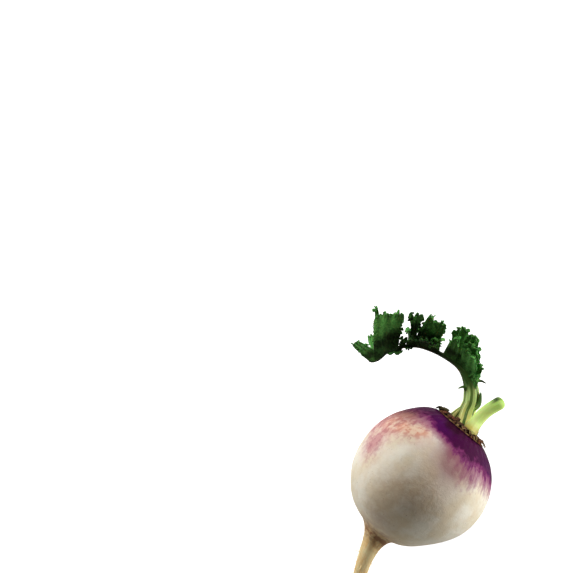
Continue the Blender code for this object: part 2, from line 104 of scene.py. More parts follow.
# The leaf
BLADE = 0.5 * MM
BLADE_ROWS = 36
COLUMNS_A_TOOTH = 10
LOBE_OFFSET = 0.3 * MM
LEAST_FRILLED = 5.0
LEAF_DEPTH = -3.0
BARE_STALK = 27.0 * MM
STALK_HALF_WIDTH = 4.3 * MM
FOOT_FLARE = 1.4 * MM
FLARE_DECAY = 4.0 * MM
SPREAD = 4.5 * MM
SPREAD_DECAY = 3.5 * MM
MIDRIB_HALF_WIDTH = 1.5 * MM
MIDRIB_TIP = 0.7 * MM
FRILL_SPACING = 6.0

# A lobe: its side, 1 near and -1 far; its place and its width on the midrib; where it aims; how far it
# reaches; its head's width; how late it widens; how round its head is; how far it opens; and its teeth.
# Lengths are in mm and angles in degrees.
Lobe = namedtuple("Lobe", "name side along base aim reach head stalk round open teeth")
LOBE_ROWS = (
    ("a0", 1, 26, 14, 108, 6, 8, 1.0, 0.3, 10, 4),
    ("a1", 1, 30, 7, 76, 20.5, 11, 1.2, 0.2, 34, 5),
    ("a3", 1, 35, 7, 79, 24, 8, 1.0, 0.2, 27, 4),
    ("a2", 1, 40, 10, 74, 24, 12.5, 1.2, 0.22, 26, 7),
    ("b1", 1, 53, 5, 68, 6, 5, 1.2, 0.3, 40, 3),
    ("b2", 1, 60, 12, 70, 22, 6, 0.9, 0.1, 26, 3),
    ("b4", 1, 57, 9, 81, 22, 6.5, 1.2, 0.2, 26, 4),
    ("b5", 1, 53, 7, 66, 9, 5, 1.0, 0.2, 30, 4),
    ("c1", 1, 66, 4.5, 58.5, 22, 9, 2.2, 0.1, 24, 3),
    ("u1", 1, 67.5, 6, -125, 2.6, -4, 1.0, 0.4, 30, 3),
    ("u2", 1, 79, 15, -125, 1.9, -14, 1.0, 0.7, 10, 3),
    ("c2", 1, 72, 4, 66, 6, 4, 1.2, 0.2, 34, 3),
    ("d1", 1, 82, 15, 51, 26, 17, 0.8, 0.0, 28, 8),
    ("d2", 1, 86, 4, 42, 33, 2.5, 0.8, 0.2, 24, 2),
    ("e1", 1, 89.5, 9, 7, 17.5, 5, 1.0, 0.1, 26, 3),
    ("a1", -1, 30, 8, 78, 17, 11, 0.8, 0.22, 42, 5),
    ("a2", -1, 40, 8, 80, 19, 10, 1.1, 0.22, 38, 6),
    ("b", -1, 56, 7, 74, 15, 12, 1.4, 0.15, 38, 5),
    ("c", -1, 67, 4, 55, 16, 9, 2.2, 0.15, 36, 4),
    ("d", -1, 81, 13, 46, 21, 11, 0.8, 0.1, 40, 7),
    ("e1", -1, 88, 4, 29, 18, 4.5, 1.8, 0.1, 28, 3),
    ("e2", -1, 91, 5, 10, 9, 3.5, 0.9, 0.1, 40, 3),
    # These fold over towards the near side, in front of the others
    ("a5", 1, 22, 10, 88, 8, 7, 1.0, 0.3, 40, 4),
    ("a6", 1, 30, 12, 79, 18, 13, 1.0, 0.3, 40, 5),
    ("a4", 1, 27, 8, 92, 13, 8, 1.0, 0.3, 24, 4),
    ("a9", 1, 31, 8, 84, 18.5, 9, 1.0, 0.25, 28, 4),
    ("a8", 1, 43, 9, 77, 20, 6, 1.0, 0.3, 38, 5),
    ("u3", 1, 58, 8, 66, 12, 8, 1.0, 0.3, 50, 5),
    ("u4", 1, 67, 5, 60, 9, 6, 1.0, 0.3, 48, 4),
)
LOBES = [Lobe(*row) for row in LOBE_ROWS]
MIDRIB = (
    (0.6, 39.4), (2.0, 42.4), (3.8, 46.3), (5.5, 51.6), (9.8, 57.0), (15.2, 60.6),
    (21.6, 62.6), (28.4, 62.6), (35.8, 61.6), (43.4, 59.5), (50.0, 56.4), (55.4, 51.6),
    (59.4, 45.9), (61.4, 41.4), (61.8, 38.4), (62.5, 35.4), (64.2, 32.8), (66.4, 31.7),
)

# Painted light and shade: how light each group of lobes is painted, by the first letter of its name;
# lobes that lie in shade are darker
LOBE_PAINTED_LIGHT = {"a": 0.92, "b": 0.55, "c": 0.3, "d": 0.66, "e": 0.8, "u": 0.15}

# Small growths on the leaf's stalk, and the height and the span, in mm, that their colour runs over
Growth = namedtuple("Growth", "name points foot tip")
GROWTHS = (
    Growth("sheath", ((8.0, -3.4, 38.0), (7.8, -3.4, 42.5), (7.6, -3.2, 47.0)), 2.4, 1.2),
    Growth("inner_leaflet", ((10.6, -2.6, 54.5), (14.0, -1.0, 55.6), (16.2, 0.6, 52.6)), 1.1, 0.7),
    Growth("outer_leaflet", ((11.0, -3.6, 62.4), (8.6, -2.6, 64.6), (5.2, -1.6, 65.4)), 1.0, 0.5),
    Growth("outer_fold", ((1.8, -3.0, 48.0), (1.0, -1.8, 53.2), (4.6, -2.0, 59.6)), 1.6, 1.2),
)
GROWTH_FOOT = 38.0
GROWTH_SPAN = 62.0

# How flat a stalk is, how many ribs it has and how deep, and how round its far end is, in mm
Stalk = namedtuple("Stalk", "flatness ribs depth ends")
LEAF_STALK = Stalk(0.72, 6, 0.07, 1.0)
CUT_SHAPE = Stalk(0.8, 8, 0.02, 3.6)
CUT_STALK = ((-4.6, 4.0, 39.6), (-4.4, 4.0, 47.0), (-5.3, 4.2, 54.5), (-8.6, 4.7, 64.3))
CUT_HALF_WIDTH = 3.3 * MM
CUT_WIDENING = 0.5 * MM
CUT_FLARE = 1.3 * MM
CUT_FLARE_DECAY = 4.5 * MM
BRUISE_ANGLE = radians(160)
BRUISE_DEPTH = 3.2

# The dried shoot
SHOOT_CORE = ((16.0, -3.4, 37.4), (16.2, 0.0, 37.5), (16.0, 3.4, 37.4))
FRONDS = (
    ((16.2, -3.0, 37.2), (17.2, -3.8, 37.1), (18.0, -3.2, 36.1)),
    ((16.0, -1.8, 37.8), (14.6, -2.4, 39.2), (12.6, -1.8, 39.6)),
    ((16.4, -0.6, 37.6), (17.0, -0.4, 38.0), (17.8, -1.0, 36.6)),
    ((16.0, 0.8, 37.8), (14.8, 1.2, 39.4), (12.0, 1.8, 39.9)),
    ((16.3, 2.0, 37.4), (17.0, 2.2, 37.8), (18.0, 2.8, 36.4)),
    ((16.0, 3.0, 37.6), (14.6, 3.8, 39.2), (11.6, 4.4, 39.7)),
)

# The purple cap: (turn round the axis, angle from the crown where it begins, and where it is deep)
CAP_EDGE = (
    (-180, 68, 51), (-120, 85, 67), (-90, 80, 64), (-60, 82, 65), (-30, 77, 57),
    (0, 73, 49), (30, 64, 40), (45, 57, 38), (57, 53, 40), (68, 52, 44),
    (79, 53, 45), (90, 55, 46), (101, 60, 46), (112, 66, 46), (123, 68, 47),
    (135, 65, 45), (150, 63, 46), (180, 68, 51),
)
Patch = namedtuple("Patch", "turn polar width amount")

# Where the skin is flushed pink or peach, veiled mauve, ruddy or more violet in its purple, and darkened
# brown by painted shade over its lower middle and underside, where the light falls off
WASHES = {
    "blush": (
        Patch(23, 80, 17, 0.9), Patch(32, 97, 12, 0.8), Patch(38, 63, 14, 1.0), Patch(57, 58, 12, 0.9),
        Patch(7, 72, 16, 1.0), Patch(-59, 102, 16, 0.7), Patch(-131, 102, 15, 0.6),
    ),
    "peach": (Patch(41, 60, 16, 1.0), Patch(61, 54, 12, 1.0), Patch(21, 68, 10, 0.6)),
    "veil": (
        Patch(98, 61, 19, 0.85), Patch(113, 60, 15, 0.7), Patch(-95, 95, 14, 0.6),
        Patch(-22, 80, 12, 0.5),
    ),
    "ruddy": (Patch(4, 61, 20, 1.0), Patch(29, 54, 11, 0.7)),
    "violet": (Patch(68, 36, 13, 0.65), Patch(158, 49, 12, 0.4), Patch(-72, 60, 20, 0.5)),
    # Painted shade: brown darkening where the body's lower middle and underside fall in shade
    "shade": (
        Patch(106, 93, 25, 0.5), Patch(76, 111, 24, 0.4), Patch(85, 146, 16, 0.5),
        Patch(-102, 136, 25, 0.3),
    ),
}

# Where the cap's edge is torn into streaks
RIPS = (Patch(127, 65, 26, 1.0), Patch(170, 64, 20, 0.8), Patch(-90, 83, 40, 0.8))

# Heights on the root, in mm: where it turns tan, and where its neck is rusty and wrinkled, with widths
TAN_BEGINS = -33.0
TAN_FADE = 11.0
RUST_HEIGHT = -41.5
RUST_WIDTH = 7.0
WRINKLE_HEIGHT = -47.0
WRINKLE_WIDTH = 9.0

# The camera: the photograph's size and where the middle of the round body is in it, in pixels. The axis
# rises to the right at one angle, and the crown leans towards the camera by the other.
IMAGE_WIDTH = 584
IMAGE_HEIGHT = 573
BODY_PIXEL = (421.0, 476.0)
MM_A_PIXEL = 0.5797
CROWN_AIM = radians(50.0)
CROWN_TILT = radians(3)
LENS = 200.0
SENSOR = 36.0

# The light: each lamp's way is in the photograph's axes, its distance and size in metres
Lamp = namedtuple("Lamp", "name way distance size power")
LAMPS = (
    Lamp("key_light", (-0.78, 0.60, 0.15), 0.9, (0.5, 0.4), 5.5),
    Lamp("top_light", (-0.12, 0.86, 0.50), 0.9, (0.5, 0.4), 3.3),
    Lamp("side_light", (0.93, 0.14, 0.18), 0.8, (0.5, 0.2), 6.2),
)
LAMP_COLOUR = (1.0, 0.985, 0.96)
ROOM_LIGHT = 0.068
WARM_LIGHT = (1.0, 0.92, 0.8)
WHITE = (1.0, 1.0, 1.0)
FLOOR_HALF = 6.0
FLOOR_LEVEL = -0.1 * MM
FLOOR_GLOW = 0.12
FLOOR_SHINE = 0.95


def eased(x):
    """0 below 0, 1 above 1, and smooth between."""
    x = max(0.0, min(1.0, x))
    return x * x * (3.0 - 2.0 * x)


def soft_above(x, softness):
    """0 well below 0 and x well above it, with a rounded corner."""
    if x > 30.0 * softness:
        return x
    return softness * log1p(exp(max(-40.0, x / softness)))


def bell(x, width):
    """1 at 0, fading to 0 on both sides of it."""
    return exp(-((x / width) ** 2))


def taper(foot, tip):
    """A width that runs evenly from its foot to its tip."""
    return lambda share: foot + (tip - foot) * share


def outwards(angle, rise=0.0):
    """The way out from the root's axis at an angle round it."""
    return Vector((cos(angle), sin(angle), rise))


def square_to(heading, vector):
    """The part of a vector that is square to the heading, made one long."""
    return (vector - heading * vector.dot(heading)).normalized()


def noise_at(x, y, z):
    return noise.noise(Vector((x, y, z)))


def noise_round(angle, scale, height):
    """Noise that runs round the axis and closes on itself."""
    return noise_at(cos(angle) * scale, sin(angle) * scale, height)


def to_world(point):
    """A point of the plant where it lies, never below the surface that it rests on."""
    placed = LYING @ point
    placed.z = soft_above(placed.z + BODY_HEIGHT, FLAT_SOFTNESS)
    return placed


class Path:
    """A smooth curve through points, read by its length from the start."""

    def __init__(self, points, steps=24):
        ends = [points[0] * 2 - points[1], *points, points[-1] * 2 - points[-2]]
        self.points = []
        for a, b, c, d in zip(ends, ends[1:], ends[2:], ends[3:]):
            for step in range(steps):
                self.points.append(self.between(a, b, c, d, step / steps))
        self.points.append(points[-1])
        self.lengths = [0.0]
        for a, b in zip(self.points, self.points[1:]):
            self.lengths.append(self.lengths[-1] + (b - a).length)
        self.length = self.lengths[-1]

    @staticmethod
    def between(a, b, c, d, t):
        """Catmull-Rom: the curve from b to c at share t."""
        return (
            b * 2
            + (c - a) * t
            + (a * 2 - b * 5 + c * 4 - d) * t * t
            + (b * 3 - a - c * 3 + d) * t**3
        ) / 2

    def at(self, length):
        """The point that far along, straight on past either end."""
        if length <= 0:
            return self.points[0] + (self.points[1] - self.points[0]).normalized() * length
        for i, reached in enumerate(self.lengths[1:]):
            if length <= reached:
                share = (length - self.lengths[i]) / (reached - self.lengths[i])
                return self.points[i].lerp(self.points[i + 1], share)
        beyond = length - self.length
        return self.points[-1] + (self.points[-1] - self.points[-2]).normalized() * beyond

    def heading(self, length):
        step = 0.5 * MM
        return (self.at(length + step) - self.at(length - step)).normalized()


def path_in_mm(points):
    return Path([Vector(point) * MM for point in points])


class Shell:
    """The points, faces and values of one piece, in the plant's frame."""

    def __init__(self):
        self.points = []
        self.faces = []
        self.values = {}

    def add(self, point, values):
        self.points.append(point)
        for key, value in values.items():
            self.values.setdefault(key, []).append(value)
        return len(self.points) - 1

    def sleeve(self, rings, around, place):
        """A closed skin: place(t, angle) gives a point and its values, t from 0 to 1 from end to end."""
        first = self.add(*place(0.0, 0.0))
        rows = []
        for ring in range(1, rings):
            row = []
            for step in range(around):
                angle = tau * step / around
                row.append(self.add(*place(ring / rings, angle)))
            rows.append(row)
        last = self.add(*place(1.0, 0.0))
        for step in range(around):
            after = (step + 1) % around
            self.faces.append((first, rows[0][step], rows[0][after]))
            self.faces.append((last, rows[-1][after], rows[-1][step]))
            for upper, lower in zip(rows, rows[1:]):
                self.faces.append((upper[step], lower[step], lower[after], upper[after]))

    def sheet(self, columns, rows, place):
        """An open sheet: place(a, b) with a from -1 to 1 and b from 0 to 1."""
        grid = []
        for row in range(rows + 1):
            b = row / rows
            grid.append([self.add(*place(2.0 * c / columns - 1.0, b)) for c in range(columns + 1)])
        for below, above in zip(grid, grid[1:]):
            for c in range(columns):
                self.faces.append((below[c], below[c + 1], above[c + 1], above[c]))


def added(name, data):
    """A new object in the scene."""
    made = bpy.data.objects.new(name, data)
    bpy.context.scene.collection.objects.link(made)
    return made


def made_piece(name, shell, look, replaced):
    """The shell as an object that rides on the root body and stands for a solid."""
    mesh = bpy.data.meshes.new(name)
    mesh.from_pydata([to_world(point) for point in shell.points], [], shell.faces)
    shell.values["plant"] = [tuple(point / MM) for point in shell.points]
    for key, values in shell.values.items():
        several = isinstance(values[0], tuple)
        layer = mesh.attributes.new(key, "FLOAT_VECTOR" if several else "FLOAT", "POINT")
        flat = [part for value in values for part in value] if several else values
        layer.data.foreach_set("vector" if several else "value", flat)
    mesh.shade_smooth()
    mesh.materials.append(look)
    piece = added(name, mesh)
    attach(piece, "root")
    if replaced:
        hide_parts(replaced)
    return piece


class Nodes:
    """Makes nodes in one tree and joins them."""

    def __init__(self, tree):
        self.tree = tree

    def feed(self, socket, value):
        if isinstance(value, bpy.types.NodeSocket):
            self.tree.links.new(value, socket)
        elif socket.type == "RGBA":
            socket.default_value = (*value, 1.0)
        else:
            socket.default_value = value

    def node(self, kind, inputs, output=0, **settings):
        made = self.tree.nodes.new(kind)
        for key, value in settings.items():
            setattr(made, key, value)
        for key, value in inputs.items():
            self.feed(made.inputs[key], value)
        return made.outputs[output]

    def value(self, name):
        return self.node("ShaderNodeAttribute", {}, "Fac", attribute_name=name)

    def vector(self, name):
        return self.node("ShaderNodeAttribute", {}, "Vector", attribute_name=name)

    def stretched(self, vector, by):
        return self.node("ShaderNodeVectorMath", {0: vector, 1: by}, operation="MULTIPLY")

    def noise(self, vector, scale, detail, roughness):
        inputs = {"Vector": vector, "Scale": scale, "Detail": detail, "Roughness": roughness}
        return self.node("ShaderNodeTexNoise", inputs)

    def sum(self, a, b):
        return self.node("ShaderNodeMath", {0: a, 1: b}, operation="ADD")

    def product(self, a, b):
        return self.node("ShaderNodeMath", {0: a, 1: b}, operation="MULTIPLY")

    def span(self, value, low, high, to_low=0.0, to_high=1.0):
        """value from low..high carried smoothly to to_low..to_high."""
        inputs = {"Value": value, "From Min": low, "From Max": high, "To Min": to_low, "To Max": to_high}
        return self.node("ShaderNodeMapRange", inputs, interpolation_type="SMOOTHSTEP")

    def mix(self, share, a, b):
        return self.node("ShaderNodeMix", {0: share, 6: a, 7: b}, 2, data_type="RGBA")

    def blend(self, value, low, high, a, b, most=1.0):
        """a where value is below low, and b, or most of the way to it, where it is above high."""
        return self.mix(self.span(value, low, high, 0.0, most), a, b)

    def bump(self, height, depth, normal=None):
        inputs = {"Height": height, "Distance": depth, "Strength": 1.0}
        if normal is not None:
            inputs["Normal"] = normal
        return self.node("ShaderNodeBump", inputs)


class Look(Nodes):
    """A material built from nodes."""

    def __init__(self, name):
        self.material = bpy.data.materials.new(name)
        self.material.use_nodes = True
        super().__init__(self.material.node_tree)
        self.shader = self.tree.nodes["Principled BSDF"]

    def set(self, **inputs):
        for key, value in inputs.items():
            self.feed(self.shader.inputs[key.replace("_", " ")], value)

    def finished(self, colour, roughness, normal, specular):
        self.set(Base_Color=colour, Roughness=roughness, Normal=normal, Specular_IOR_Level=specular)
        return self.material


def srgb(red, green, blue):
    """A colour named as screen values from 0 to 255."""
    return tuple(
        part / 255 / 12.92 if part <= 10 else ((part / 255 + 0.055) / 1.055) ** 2.4
        for part in (red, green, blue)
    )


# The root's shape, as in the solids


def tail_radius(z):
    start = -BODY_RADIUS
    share = max(0.0, min(1.0, (start - z) / (start - TAIL_END)))
    thin = TIP_RADIUS + (TAIL_RADIUS - TIP_RADIUS) * (1.0 - share**1.6)
    flare = NECK_FLARE * exp(-max(0.0, start - z) / NECK_DECAY)
    return (thin + flare) * eased((-z - 0.5 * BODY_RADIUS) / (0.5 * BODY_RADIUS))


def tail_centre(z, radius):
    """The tap root's middle: it bends to one side, and its thin end lies along the surface."""
    below = soft_above(-z - 0.95 * BODY_RADIUS, 3.0 * MM)
    centre = Vector((-(TAIL_SLOPE * below + TAIL_BEND * below * below), 0.0, z))
    height = BODY_HEIGHT + centre.dot(UP)
    lowest = radius + TAIL_CLEARANCE
    lifted = lowest + soft_above(height - lowest, TAIL_LIFT_SOFTNESS)
    in_tail = eased((-z - BODY_RADIUS) / BODY_RADIUS)
    return centre + UP * (lifted - height) * in_tail


def lean(z):
    for (low, before), (high, after) in zip(LEAN, LEAN[1:]):
        if low * MM <= z < high * MM:
            return (before + (after - before) * eased((z / MM - low) / (high - low))) * MM
    return 0.0


def shoulder_level(z):
    """A height on the round body, brought down where the crown flattens it."""
    return SHOULDER_HEIGHT - soft_above(SHOULDER_HEIGHT - z, SHOULDER_SOFTNESS) if z > 0 else z


def ring_height(t):
    if t < BODY_SHARE:
        return BODY_RADIUS * cos(LAST_BODY_ANGLE * t / BODY_SHARE)
    return LAST_BODY_HEIGHT + (TAIL_END - LAST_BODY_HEIGHT) * (t - BODY_SHARE) / (1.0 - BODY_SHARE)


def root_surface(t, angle):
    """The skin: a ball flattened at the crown, drawn out into the tap root, and never quite round."""
    z = ring_height(t)
    ball = sqrt(max(0.0, BODY_RADIUS**2 - z * z))
    radius = hypot(ball, tail_radius(z)) if t < 1.0 else 0.0
    lobing = sum(share * cos(count * angle + turn) for count, share, turn in LOBING)
    fluting = TAIL_FLUTING * cos(3 * angle + 9.0 * z / BODY_RADIUS)
    in_tail = eased((-z - 0.9 * BODY_RADIUS) / (0.3 * BODY_RADIUS))
    radius *= 1.0 + lobing + fluting * in_tail
    centre = tail_centre(z, radius)
    centre.x += lean(z)
    centre.z += shoulder_level(z) - z
    return centre + outwards(angle) * radius


# The skin's relief and colour fields


def cap_share(turn, polar):
    """0 where the purple cap begins and 1 where it is deep, at a turn from -180 to 180 degrees."""
    for (low, begins, deep), (high, next_begins, next_deep) in zip(CAP_EDGE, CAP_EDGE[1:]):
        if low <= turn <= high:
            share = eased((turn - low) / (high - low))
            outer = begins + (next_begins - begins) * share
            inner = deep + (next_deep - deep) * share
    return (outer - polar) / (outer - inner)


def direction(turn, polar):
    turn, polar = radians(turn), radians(polar)
    flat = sin(polar)
    return Vector((flat * cos(turn), flat * sin(turn), cos(polar)))


def washed(way, patches):
    """How strongly the patches reach a direction from the body's middle."""
    total = 0.0
    for patch in patches:
        apart = degrees(way.angle(direction(patch.turn, patch.polar)))
        total += patch.amount * bell(apart, patch.width)
    return min(1.0, total)


def skin_relief(point, angle, height):
    """How far the skin stands out, in mm: dents, wrinkles round the neck, puckers under the crown."""
    at = point / MM
    swell = 0.45 * noise.noise(at * 0.04) + 0.10 * noise.noise(at * 0.17)
    neck = bell(height - WRINKLE_HEIGHT, WRINKLE_WIDTH)
    folds = noise_at(at.x * 0.22, at.y * 0.22, at.z * 0.6)
    tail = eased((-height - 42.0) / 8.0)
    rings = noise_at(at.x * 0.35, at.y * 0.35, at.z * 0.9)
    top = eased((height - 26.0) / 8.0)
    puckers = noise_round(angle, 9.0, at.z * 0.1)
    return swell * (1.0 - tail) + 0.2 * folds * neck + 0.1 * rings * tail + 0.3 * puckers * top


def skin_place(t, angle):
    point = root_surface(t, angle)
    z = ring_height(t)
    turn = degrees(atan2(sin(angle), cos(angle)))
    polar = degrees(acos(max(-1.0, min(1.0, z / BODY_RADIUS))))
    way = outwards(angle)
    facing = direction(turn, polar)
    out = facing if z > -0.9 * BODY_RADIUS else way
    height = z / MM
    if 0.0 < t < 1.0:
        point = point + out * skin_relief(point, angle, height) * MM
    values = {
        "streak": (way.x, way.y, height),
        "cap": cap_share(turn, polar),
        "ripped": 0.08 + 0.22 * washed(facing, RIPS),
        "tail": eased((TAN_BEGINS - height) / TAN_FADE),
        "rust": bell(height - RUST_HEIGHT, RUST_WIDTH) + 0.1,
    }
    values.update({name: washed(facing, patches) for name, patches in WASHES.items()})
    return point, values


def skin_look():
    look = Look("turnip_skin_look")
    plant = look.vector("plant")
    streak = look.vector("streak")
    cloud = look.noise(plant, 0.07, 4.0, 0.55)
    mottle = look.noise(plant, 0.30, 5.0, 0.62)
    fine = look.noise(plant, 1.3, 4.0, 0.6)
    run = look.noise(look.stretched(streak, (9.0, 9.0, 0.07)), 1.0, 5.0, 0.65)
    band = look.noise(look.stretched(plant, (0.12, 0.12, 0.5)), 1.0, 3.0, 0.6)

    cream = look.blend(cloud, 0.35, 0.65, srgb(236, 225, 200), srgb(247, 243, 228))
    cream = look.blend(band, 0.5, 0.8, cream, srgb(205, 190, 150), 0.2)
    # Painted shade: the cream is darkened brown over the lower middle and underside, where the light
    # falls off
    shade = look.product(look.value("shade"), look.span(mottle, 0.2, 0.7, 0.6, 1.0))
    cream = look.mix(shade, cream, srgb(172, 136, 104))
    blush = look.value("blush")
    peach = look.product(look.value("peach"), look.span(mottle, 0.3, 0.5, 0.6, 1.0))
    pink = look.mix(peach, srgb(206, 156, 156), srgb(226, 166, 142))
    flush = look.product(blush, look.span(look.sum(mottle, cloud), 0.78, 1.05, 0.42, 1.0))
    colour = look.mix(flush, cream, pink)
    blotch = look.product(blush, look.span(mottle, 0.48, 0.64, 0.0, 0.6))
    colour = look.mix(blotch, colour, look.mix(peach, srgb(174, 108, 124), srgb(204, 142, 122)))

    ripped = look.product(look.value("ripped"), look.span(run, 0.3, 0.7, -1.0, 1.0))
    ragged = look.sum(look.sum(look.value("cap"), ripped), look.span(mottle, 0.3, 0.7, -0.2, 0.2))
    halo = look.product(look.span(ragged, -0.45, 0.4), look.span(mottle, 0.35, 0.6, 1.0, 0.75))
    ruddy = look.product(look.value("ruddy"), look.span(mottle, 0.3, 0.5, 0.7, 1.0))
    outer = look.mix(ruddy, srgb(156, 92, 126), srgb(146, 86, 80))
    colour = look.mix(halo, colour, outer)
    veil = look.product(look.value("veil"), look.span(cloud, 0.3, 0.6, 0.65, 0.85))
    colour = look.mix(veil, colour, srgb(140, 88, 98))
    inner = look.mix(ruddy, srgb(122, 46, 100), srgb(98, 46, 62))
    colour = look.blend(ragged, 0.3, 0.8, colour, inner)
    violet = look.product(look.value("violet"), look.span(mottle, 0.3, 0.6, 0.5, 1.0))
    purple = look.mix(violet, srgb(66, 8, 56), srgb(78, 14, 92))
    purple = look.blend(ragged, 1.6, 2.6, purple, srgb(50, 8, 38))
    colour = look.blend(ragged, 0.65, 1.15, colour, purple)

    tail = look.value("tail")
    grain = look.noise(look.stretched(streak, (4.0, 4.0, 0.16)), 1.0, 4.0, 0.6)
    tan = look.blend(grain, 0.3, 0.7, srgb(240, 200, 130), srgb(252, 238, 186))
    rust = look.product(look.span(look.sum(band, mottle), 0.85, 1.15, 0.4, 1.0), look.value("rust"))
    tan = look.mix(rust, tan, srgb(158, 112, 78))
    colour = look.mix(look.product(tail, 0.92), colour, tan)
    specks = look.span(look.noise(plant, 0.85, 2.0, 0.5), 0.70, 0.76, 0.0, 0.5)
    colour = look.mix(specks, colour, srgb(120, 92, 66))

    rough = look.sum(look.span(mottle, 0.3, 0.7, 0.44, 0.56), look.product(tail, 0.2))
    soft = look.bump(look.span(mottle, 0.2, 0.8), 0.00012)
    pores = look.bump(fine, 0.00006, soft)
    look.set(Subsurface_Weight=0.1, Subsurface_Scale=0.003, Subsurface_Radius=(1.0, 0.7, 0.5))
    return look.finished(colour, rough, pores, 0.05)


def root_hair(shell, draw, look_values):
    """One thin side root, curling off the tap root."""
    z = draw.uniform(-98.0, -56.0) * MM
    angle = draw.uniform(0.0, tau)
    down = (z - LAST_BODY_HEIGHT) / (TAIL_END - LAST_BODY_HEIGHT)
    foot = root_surface(BODY_SHARE + (1.0 - BODY_SHARE) * down, angle)
    out = outwards(angle, -0.5).normalized()
    side = Vector((-out.y, out.x, draw.uniform(-0.6, 0.6))).normalized()
    reach = draw.uniform(2.0, 6.0) * MM
    points = [foot - out * 0.5 * MM]
    for step in range(1, 5):
        share = step / 4
        bend = side * sin(share * draw.uniform(1.5, 3.0)) * 0.35
        points.append(foot + (out * share + bend) * reach)
    thick = draw.uniform(0.12, 0.22) * MM
    width = taper(1.05 * thick, 0.25 * thick)
    surface = tongue(Path(points, 6), width, width, side)
    shell.sleeve(14, 6, lambda t, around: (surface(t, around), look_values))


def turnip_root():
    shell = Shell()
    shell.sleeve(SKIN_RINGS, SKIN_AROUND, skin_place)
    look = skin_look()
    made_piece("turnip_skin", shell, look, "turnip_root")
    hairs = Shell()
    draw = random.Random(5)
    values = {"streak": (1.0, 0.0, -80.0), "cap": -9.0, "tail": 1.0}
    values.update(dict.fromkeys([*WASHES, "ripped", "rust"], 0.0))
    for _ in range(ROOT_HAIRS):
        root_hair(hairs, draw, values)
    made_piece("root_hairs", hairs, look, None)


def tongue(path, half_width, half_thickness, flat_way):
    """surface(t, angle) of a flattened stalk along a path, flat across its foot and its tip."""

    def surface(t, angle):
        share = eased(t) if t < 1.0 else 1.0
        length = path.length * share
        heading = path.heading(length)
        wide = square_to(heading, flat_way)
        thick = heading.cross(wide)
        closed = 1.0 if 0.0 < t < 1.0 else 0.0
        across = cos(angle) * half_width(share) * closed
        through = sin(angle) * half_thickness(share) * closed
        return path.at(length) + wide * across + thick * through

    return surface


# The crown


def crown_place(t, angle):
    """A low corky disc with rings of old leaf scars on its top, flat underneath."""
    on_top = t < CROWN_TOP_SHARE
    if on_top:
        share = t / CROWN_TOP_SHARE
        radius = CROWN_RADIUS * share
        ridge = 0.25 * MM * cos(share * 14.0 + 2.0 * cos(3 * angle)) * eased(share * 2)
        z = CROWN_FOOT + CROWN_HEIGHT * (1.0 - 0.35 * share**3) - 0.3 * MM + ridge
    else:
        radius = 0.98 * CROWN_RADIUS * (1.0 - t) / (1.0 - CROWN_TOP_SHARE)
        z = CROWN_FOOT
    radius *= 1.0 + 0.04 * cos(4 * angle + 1.0) + 0.03 * cos(7 * angle)
    point = outwards(angle) * radius + AXIS * z
    if on_top:
        at = point / MM
        point.z += (0.5 * noise.noise(at * 0.45) + 0.25 * noise.noise(at * 1.4)) * MM
    return point, {"tip": 0.1, "tone": 0.3}


def skin_level(radius):
    """How high the shoulder's skin is at a distance from the axis."""
    return shoulder_level(sqrt(BODY_RADIUS**2 - radius**2))


def collar_place(a, b):
    """A ragged dry skin that hugs the shoulder round the crown."""
    angle = pi * a
    ragged = noise_round(angle, 5, 3.0)
    nicks = noise_round(angle, 22, 7.0)
    reach = COLLAR_RADIUS + (1.3 * ragged + 1.1 * nicks) * MM
    radius = COLLAR_FOOT + (reach - COLLAR_FOOT) * b
    lift = (0.3 + 0.1 * b * b + 0.5 * (1.0 - b) + 0.15 * nicks) * MM
    point = outwards(angle) * radius + AXIS * (skin_level(radius) + lift)
    return point, {"tip": b * 1.25, "tone": 0.5 + 0.8 * ragged}


def dry_scale(shell, angle, foot_radius, reach, lift, width, draw):
    """One dry scale that curls out over the shoulder from the crown's rim."""
    out = outwards(angle)
    along = Vector((-out.y, out.x, 0.0))
    foot = out * foot_radius + AXIS * (CROWN_FOOT + 1.0 * MM)
    tip = out * reach + AXIS * (skin_level(reach) + lift) + along * draw.uniform(-1.2, 1.2) * MM
    middle = foot.lerp(tip, 0.5) + AXIS * draw.uniform(0.3, 1.0) * MM
    path = Path([foot, middle, tip], 6)
    tone = draw.uniform(0.0, 1.0)
    seed = draw.uniform(0.0, 50.0)
    curl_up = draw.uniform(-0.5, 0.9)

    def place(a, b):
        ragged = 1.0 - 0.35 * abs(a) ** 1.5 + 0.22 * noise_at(a * 3.0, seed, 0.0)
        narrow = width * (1.05 - 0.6 * b**2)
        rise = 0.9 * curl_up * a * a * b + 0.25 * noise_at(a * 2.0, b * 3.0, seed)
        point = path.at(path.length * b * ragged) + along * a * narrow + AXIS * rise * MM
        return point, {"tip": b, "tone": tone}

    shell.sheet(8, 10, place)


def stub(shell, x, y, draw):
    """The dry stub of an older stalk, low on the crown."""
    top = draw.uniform(2.0, 4.4)
    shift = draw.uniform(-0.8, 0.8)
    foot = CROWN_FOOT / MM + 1.0
    path = path_in_mm(((x, y, foot), (x + 0.3 * shift, y, foot + 0.5 * top), (x + shift, y, foot + top)))
    flat_way = Vector((-y, x, 0.0)).normalized()
    shape = tongue(path, taper(2.1 * MM, 1.2 * MM), taper(1.5 * MM, 0.7 * MM), flat_way)

    def place(t, angle):
        point = shape(t, angle)
        shrink = 0.35 * noise.noise(point / MM * 0.8) * MM if 0.0 < t < 1.0 else 0.0
        return point + outwards(angle, 0.3) * shrink, {"tip": t * 0.8, "tone": 0.6}

    shell.sleeve(24, 28, place)


